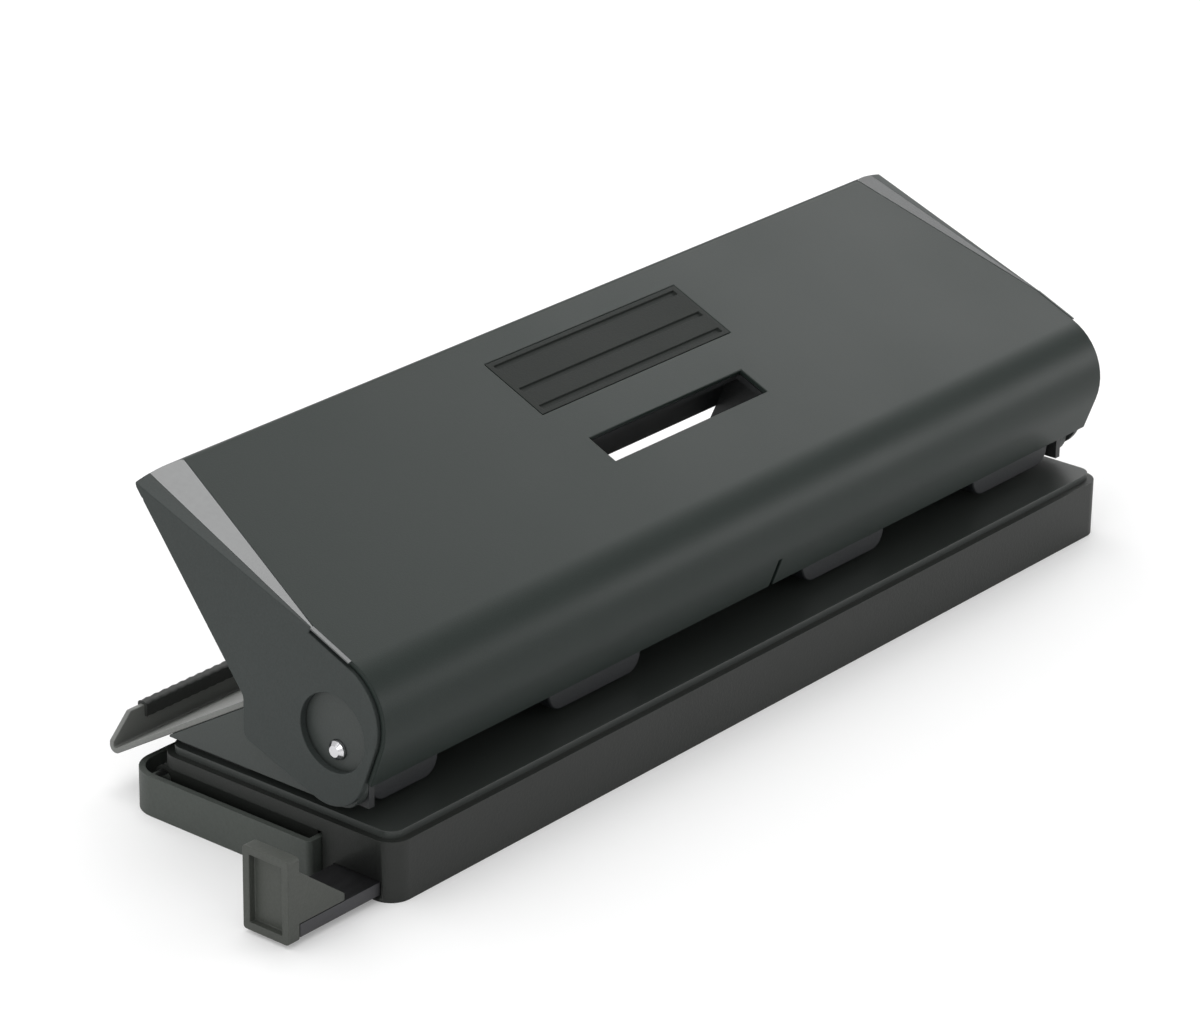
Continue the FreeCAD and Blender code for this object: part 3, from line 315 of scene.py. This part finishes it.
tray_grey = satin_paint("tray_grey", (0.052, 0.060, 0.053), rough=0.52, grain=1300, bump=0.16)
TRAY_RIM = 0.0113
ENDS = {"left": -1, "right": 1}
softened("chip_tray", "chip_tray", tray_grey, rim=0.0005,
         keep=lambda e: flat(e, 2, 0, TRAY_RIM))
bright_steel = bare_metal("bright_steel", (0.80, 0.80, 0.82), 0.16, lines=400, bump=0.02)
for end in ENDS:
    dress("tray_pin_" + end, bright_steel)

# Paper fence and side brackets.
# Black-painted steel angles screwed down behind the slot. The fence stops the paper 12 mm
# behind the holes, and the brackets carry the pivot pins.

frame_black = satin_paint("frame_black", (0.030, 0.032, 0.033), rough=0.44, bump=0.06)
for node in ("paper_fence", "side_bracket_left", "side_bracket_right"):
    dress(node, frame_black)
zinc_steel = bare_metal("zinc_steel", (0.46, 0.46, 0.47), 0.34, lines=700)
dress("base_screws", zinc_steel)

# Punch heads and bridge.
# Four black moulded guide blocks hang under a folded steel bridge, one screw in each. Their
# lower corners are round, so that paper slides in under them.

head_black = satin_paint("head_black", (0.016, 0.018, 0.020), rough=0.42, grain=1700, bump=0.10)
HEAD_FRONT = -0.0298
for number in "1234":
    softened("head_block_" + number, "base", head_black, rim=0.0005,
             keep=lambda e: flat(e, 1, HEAD_FRONT))
dress("bridge_plate", frame_black)
dress("head_screws", zinc_steel)

# Punches and return springs.
# Ground steel pins with a hollow tip, each lifted by a coil of drawn wire that shortens from
# the top as its punch goes down.

spring_wire = bare_metal("spring_wire", (0.42, 0.42, 0.44), 0.30, lines=1500)
for number in "1234":
    dress("punch_pin_" + number, ground_steel)
    bm = bmesh.new()
    bm.from_mesh(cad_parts["punch_spring_" + number].data)
    bmesh.ops.remove_doubles(bm, verts=bm.verts, dist=NEAR)
    coil = finish_piece("return_spring_" + number, bm, "base", "punch_spring_" + number,
                        spring_wire, smooth=1.0)
    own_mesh(coil)

# Roof plate and its rubber edge.
# Sheet steel that slopes to the rear and turns up into a lip. A ribbed black rubber strip is
# pushed over the lip.

# The roof's light grey is painted light: a colour much lighter than the other dark parts stands
# in for light falling on the lip, which the lamps leave in shade.
roof_grey_painted_light = satin_paint("roof_grey_painted_light", (0.170, 0.176, 0.166), rough=0.40, grain=3000, bump=0.04)
softened("roof_plate", "base", roof_grey_painted_light, rim=0.0003)
strip_black = satin_paint("strip_black", (0.026, 0.028, 0.026), rough=0.62, grain=1400, bump=0.2)


def slice_mesh(bm, point, normal, clear_outer=False):
    """Cuts the mesh with one plane, and can take away what lies beyond it."""
    bmesh.ops.bisect_plane(bm, geom=bm.verts[:] + bm.edges[:] + bm.faces[:], dist=NEAR,
                           plane_co=point, plane_no=normal, clear_outer=clear_outer)


def cut_across(bm, axis, places):
    """Cuts the mesh with planes square to an axis at each of the places."""
    for value in places:
        point = [0, 0, 0]
        normal = [0, 0, 0]
        point[axis] = value
        normal[axis] = 1
        slice_mesh(bm, point, normal)


ARC_STEP = math.radians(7)


def bent_line(points, radii, closed=False):
    """A line through corners in the YZ plane; each corner with a radius is spun as an arc."""
    bm = bmesh.new()
    corners = [Vector((0, u, v)) for u, v in points]
    first = last = None
    for i, (corner, radius) in enumerate(zip(corners, radii)):
        if not radius:
            new = turned = bm.verts.new(corner)
        else:
            before = (corners[i - 1] - corner).normalized()
            after = (corners[(i + 1) % len(corners)] - corner).normalized()
            half = before.angle(after) / 2
            middle = corner + (before + after).normalized() * (radius / math.sin(half))
            new = bm.verts.new(corner + before * (radius / math.tan(half)))
            turn = math.pi - 2 * half
            if Vector((1, 0, 0)).cross(new.co - middle).dot(before) > 0:
                turn = -turn
            steps = max(3, int(abs(turn) / ARC_STEP))
            arc = bmesh.ops.spin(bm, geom=[new], cent=middle, axis=(1, 0, 0), angle=turn,
                                 steps=steps)["geom_last"]
            turned = [v for v in arc if isinstance(v, bmesh.types.BMVert)][0]
        if last:
            bm.edges.new((last, new))
        first = first or new
        last = turned
    if closed:
        bm.edges.new((last, first))
    return bm


def flat_plate(points, radii, x0, x1):
    """A plate between two X values whose outline has an arc at each corner."""
    bm = bent_line(points, radii, closed=True)
    bmesh.ops.contextual_create(bm, geom=bm.edges[:])
    bmesh.ops.translate(bm, vec=(x0, 0, 0), verts=bm.verts)
    drawn = bmesh.ops.extrude_face_region(bm, geom=bm.faces[:])["geom"]
    moved = [v for v in drawn if isinstance(v, bmesh.types.BMVert)]
    bmesh.ops.translate(bm, vec=(x1 - x0, 0, 0), verts=moved)
    bmesh.ops.recalc_face_normals(bm, faces=bm.faces)
    return bm


STRIP_TOP = 0.0204
STRIP_LOW = 0.0164
STRIP_FRONT = 0.05308
STRIP_REAR = 0.05642
STRIP_ROUND = 0.0012
STRIP_HALF = 0.1412
LIP_TOP = 0.01952
LIP_FRONT = 0.05398
LIP_REAR = 0.05552
bm = flat_plate(((STRIP_FRONT, STRIP_LOW), (LIP_FRONT, STRIP_LOW), (LIP_FRONT, LIP_TOP),
                 (LIP_REAR, LIP_TOP), (LIP_REAR, STRIP_LOW), (STRIP_REAR, STRIP_LOW),
                 (STRIP_REAR, STRIP_TOP), (STRIP_FRONT, STRIP_TOP)),
                (0, 0, 0, 0, 0, 0, STRIP_ROUND, STRIP_ROUND), -STRIP_HALF, STRIP_HALF)
RIB_PITCH = 0.0016
RIB_DROP = 0.00025
RIB_BITE = 0.00030
TOP_ZONE = 0.0013
SIDE_ZONE = 0.0002
rib_places = [-STRIP_HALF + RIB_PITCH * (i + 0.5) for i in range(int(2 * STRIP_HALF / RIB_PITCH))]
cut_across(bm, 0, rib_places)
for vert in bm.verts:
    step = round((vert.co.x + STRIP_HALF) / RIB_PITCH - 0.5)
    on_rib = abs(vert.co.x - (-STRIP_HALF + RIB_PITCH * (step + 0.5))) < ON_PLANE
    if on_rib and step % 2 == 0:
        if vert.co.z > STRIP_TOP - TOP_ZONE:
            vert.co.z -= RIB_DROP
        if vert.co.y < STRIP_FRONT + SIDE_ZONE:
            vert.co.y += RIB_BITE
        if vert.co.y > STRIP_REAR - SIDE_ZONE:
            vert.co.y -= RIB_BITE
finish_piece("lip_strip_ribbed", bm, "base", "lip_strip", strip_black, smooth=0.9)

# Cheeks and pivot pins.
# Moulded side covers over the brackets, each with a round ear that closes the end panel's
# hole from inside. The bright end of the pivot pin shows in it.

cheek_grey = satin_paint("cheek_grey", (0.040, 0.047, 0.044), rough=0.48, grain=2000, bump=0.10)
CHEEK_FACE = 0.1526
for end, side in ENDS.items():
    softened("side_cheek_" + end, "base", cheek_grey, rim=0.0004,
             keep=lambda e: flat(e, 0, side * CHEEK_FACE))
    dress("pivot_pin_" + end, bright_steel)
    dress("pivot_clip_" + end, zinc_steel)

# Lever's inner steelwork.
# A folded channel stiffens the top, two ribs stand beside the window, and an arm at each end
# turns on the pivot pin in a brass bush. The press rod runs through the arms and the ribs.

inner_black = satin_paint("inner_black", (0.018, 0.019, 0.020), rough=0.50, bump=0.08)
for node in ("lever_channel", "lever_arm_left", "lever_arm_right", "lever_rib_left",
             "lever_rib_right"):
    dress(node, inner_black)
dress("press_rod", bright_steel)
bush_brass = bare_metal("bush_brass", (0.72, 0.52, 0.24), 0.30)
for end in ENDS:
    dress("pivot_bush_" + end, bush_brass)

# Lever cover.
# Sheet steel, folded over the nose at the front and hemmed at the rear, sprayed with a fine
# satin dark grey. The window is cut through its top, and the pad's recess is pressed into it.

PIVOT = Vector((0, -0.0240, 0.0365))
TILT = math.radians(23.4)
HALF = 0.155
TOP = 0.0261
REAR = 0.0884
REAR_BEND = 0.0025
REAR_ANGLE = math.radians(28.9)
HEM = 0.0125
NOSE = -0.0117
NOSE_R = 0.0174
SKIRT = 0.0270
SKIRT_LEAN = math.radians(3.4)
SHEET = 0.0015
COVER_INSET = 0.0010
FACET_FRONT = 0.0187
FACET_WIDTH = 0.0154
WINDOW = (-0.0304, 0.0344, 0.0260, 0.0358)    # left, right, front and rear sides
PAD = (-0.0357, 0.0443, 0.0485, 0.0705)
RECESS = 0.0009
TOP_NEAR = 1e-4
END = HALF - COVER_INSET
LEVER_PLACE = Matrix.Translation(PIVOT) @ Matrix.Rotation(TILT, 4, "X")


def facet_edge(u):
    """Cover's end, in from the end panel's face, at u behind the pivot."""
    return COVER_INSET + FACET_WIDTH * (u - FACET_FRONT) / (REAR - FACET_FRONT)


def inside(face, x0, x1, y0, y1):
    """Whether a face lies in the lever's top between those limits."""
    middle = face.calc_center_median()
    return x0 < middle.x < x1 and y0 < middle.y < y1 and middle.z > TOP - TOP_NEAR


def turn_outward(bm):
    """Turns the whole sheet over if the top in front of the window looks down."""
    bmesh.ops.recalc_face_normals(bm, faces=bm.faces)
    front_top = [f for f in bm.faces if inside(f, -END, END, NOSE + NOSE_R, WINDOW[2])]
    if front_top[0].normal.z < 0:
        bmesh.ops.reverse_faces(bm, faces=bm.faces)


lever_grey = satin_paint("lever_grey", (0.013, 0.020, 0.017), rough=0.39, bump=0.06, shine=0.27)
hem_end = (REAR - HEM * math.cos(REAR_ANGLE), TOP - HEM * math.sin(REAR_ANGLE))
lip = (NOSE - SKIRT * math.sin(SKIRT_LEAN), TOP - SKIRT * math.cos(SKIRT_LEAN))
bm = bent_line((hem_end, (REAR, TOP), (NOSE, TOP), lip), (0, REAR_BEND, NOSE_R, 0))
bmesh.ops.translate(bm, vec=(-END, 0, 0), verts=bm.verts)
drawn = bmesh.ops.extrude_edge_only(bm, edges=bm.edges[:])["geom"]
far = [v for v in drawn if isinstance(v, bmesh.types.BMVert)]
bmesh.ops.translate(bm, vec=(2 * END, 0, 0), verts=far)
for side in ENDS.values():
    front_in = Vector((side * (HALF - facet_edge(FACET_FRONT)), FACET_FRONT, 0))
    rear_in = Vector((side * (HALF - facet_edge(REAR)), REAR, 0))
    way = rear_in - front_in
    outward = Vector((way.y, -way.x, 0)) * side
    slice_mesh(bm, front_in, outward, clear_outer=True)
SLIT_X = (0.0043, 0.0057)
SLIT_HEIGHT = 0.0090
SLIT_TOP = lip[1] + SLIT_HEIGHT
SLIT_REAR = NOSE + 0.0020
cut_across(bm, 0, (*WINDOW[:2], *PAD[:2], *SLIT_X))
cut_across(bm, 1, (*WINDOW[2:], *PAD[2:]))
cut_across(bm, 2, (SLIT_TOP,))
gone = [f for f in bm.faces if inside(f, *WINDOW)]
for face in bm.faces:
    middle = face.calc_center_median()
    if SLIT_X[0] < middle.x < SLIT_X[1] and middle.z < SLIT_TOP and middle.y < SLIT_REAR:
        gone.append(face)
bmesh.ops.delete(bm, geom=gone, context="FACES")
recess = [f for f in bm.faces if inside(f, *PAD)]
turn_outward(bm)
sunk = bmesh.ops.extrude_face_region(bm, geom=recess)["geom"]
bmesh.ops.delete(bm, geom=[f for f in recess if f.is_valid], context="FACES_ONLY")
floor_verts = [v for v in sunk if isinstance(v, bmesh.types.BMVert)]
bmesh.ops.translate(bm, vec=(0, 0, -RECESS), verts=floor_verts)
turn_outward(bm)
bmesh.ops.remove_doubles(bm, verts=bm.verts, dist=NEAR)
bmesh.ops.delete(bm, geom=[e for e in bm.edges if not e.link_faces], context="EDGES")
bmesh.ops.solidify(bm, geom=bm.faces[:], thickness=SHEET)
bevel_rims(bm, width=0.00035, least=0.7)
finish_piece("lever_cover_sheet", bm, "lever", "lever_cover", lever_grey,
             LEVER_PLACE)

# Finger pad.
# A thin moulded pad glued into the recess on the lever's top. Three long grooves give the
# fingers a hold.

def new_block(lo, hi):
    """A box between two corners."""
    bm = bmesh.new()
    bmesh.ops.create_cube(bm, size=1)
    lo = Vector(lo)
    hi = Vector(hi)
    bmesh.ops.scale(bm, vec=hi - lo, verts=bm.verts)
    bmesh.ops.translate(bm, vec=(lo + hi) / 2, verts=bm.verts)
    return bm


pad_black = satin_paint("pad_black", (0.011, 0.014, 0.012), rough=0.60, grain=1800, bump=0.16,
                        shine=0.24)
PAD_GAP = 0.0001
GROOVE_FRONTS = (0.0499, 0.0574, 0.0672)
GROOVE_WIDTH = 0.0018
GROOVE_DEPTH = 0.0006
GROOVE_SLOPE = 0.0002
grooves = [(front, front + GROOVE_WIDTH) for front in GROOVE_FRONTS]
pad_left = PAD[0] + PAD_GAP
pad_right = PAD[1] - PAD_GAP
groove_ends = (pad_left + GROOVE_WIDTH, pad_right - GROOVE_WIDTH)
bm = new_block((pad_left, PAD[2] + PAD_GAP, TOP - RECESS), (pad_right, PAD[3] - PAD_GAP, TOP))
cut_across(bm, 0, groove_ends)
cut_across(bm, 1, [edge for groove in grooves for edge in groove])
for front, rear in grooves:
    strip = [f for f in bm.faces if f.normal.z > 0.9 and inside(f, *groove_ends, front, rear)]
    bmesh.ops.inset_region(bm, faces=strip, thickness=GROOVE_SLOPE, depth=0)
    floor_verts = list({v for f in strip for v in f.verts})
    bmesh.ops.translate(bm, vec=(0, 0, -GROOVE_DEPTH), verts=floor_verts)
bevel_rims(bm, width=0.00015)
finish_piece("finger_pad", bm, "lever", "grip_pad", pad_black, LEVER_PLACE)

# End panels.
# Flat moulded plates that close the lever's ends, clipped under the cover. The round hole
# leaves room for the frame's ear, where the pivot pin sits.

panel_grey = satin_paint("panel_grey", (0.038, 0.045, 0.043), rough=0.50, grain=1900, bump=0.10,
                         shine=0.3)
for end, side in ENDS.items():
    softened("end_cap_" + end, "lever", panel_grey, rim=0.0006,
             keep=lambda e: flat(e, 0, side * HALF))

# End facets.
# Glossy dark mouldings that slant up from the end panels to the cover and wrap round its rear
# edge. A thin tip carries each one on along the seam towards the nose.

facet_black = satin_paint("facet_black", (0.045, 0.050, 0.050), rough=0.20, grain=500, bump=0.01)
facet_black.node_tree.nodes["Principled BSDF"].inputs["IOR"].default_value = 1.75
TIP_PAST_NOSE = 0.0006
TIP_UNDER = 0.0003
TIP_PROUD = 0.0001
TIP_DROP = 0.00023
TIP_INSET = 0.00005
tip_front = NOSE + NOSE_R - TIP_PAST_NOSE
for end, side in ENDS.items():
    softened("end_trim_" + end, "lever", facet_black, rim=0.0004)
    bm = new_block((END, tip_front, TOP - TIP_UNDER), (HALF, FACET_FRONT, TOP + TIP_PROUD))
    for vert in bm.verts:
        if vert.co.x > HALF - COVER_INSET / 2:
            vert.co.z -= TIP_DROP
            vert.co.x -= TIP_INSET
    bmesh.ops.scale(bm, vec=(side, 1, 1), verts=bm.verts)
    finish_piece("facet_tip_" + end, bm, "lever", "end_trim_" + end, facet_black,
                 LEVER_PLACE)

# Paper stop.
# A moulded plate with a raised rim, braced from behind by two gussets, on a flat steel bar
# that slides in the base.

stop_grey = satin_paint("stop_grey", (0.055, 0.060, 0.052), rough=0.46, grain=1500, bump=0.14)
softened("guide_stop", "paper_stop", stop_grey, rim=0.0005)
bar_steel = bare_metal("bar_steel", (0.10, 0.10, 0.105), 0.42, (0.1, 1, 1))
dress("guide_bar", bar_steel)
dress("guide_screw", zinc_steel)

scene.view_settings.view_transform = "Standard"
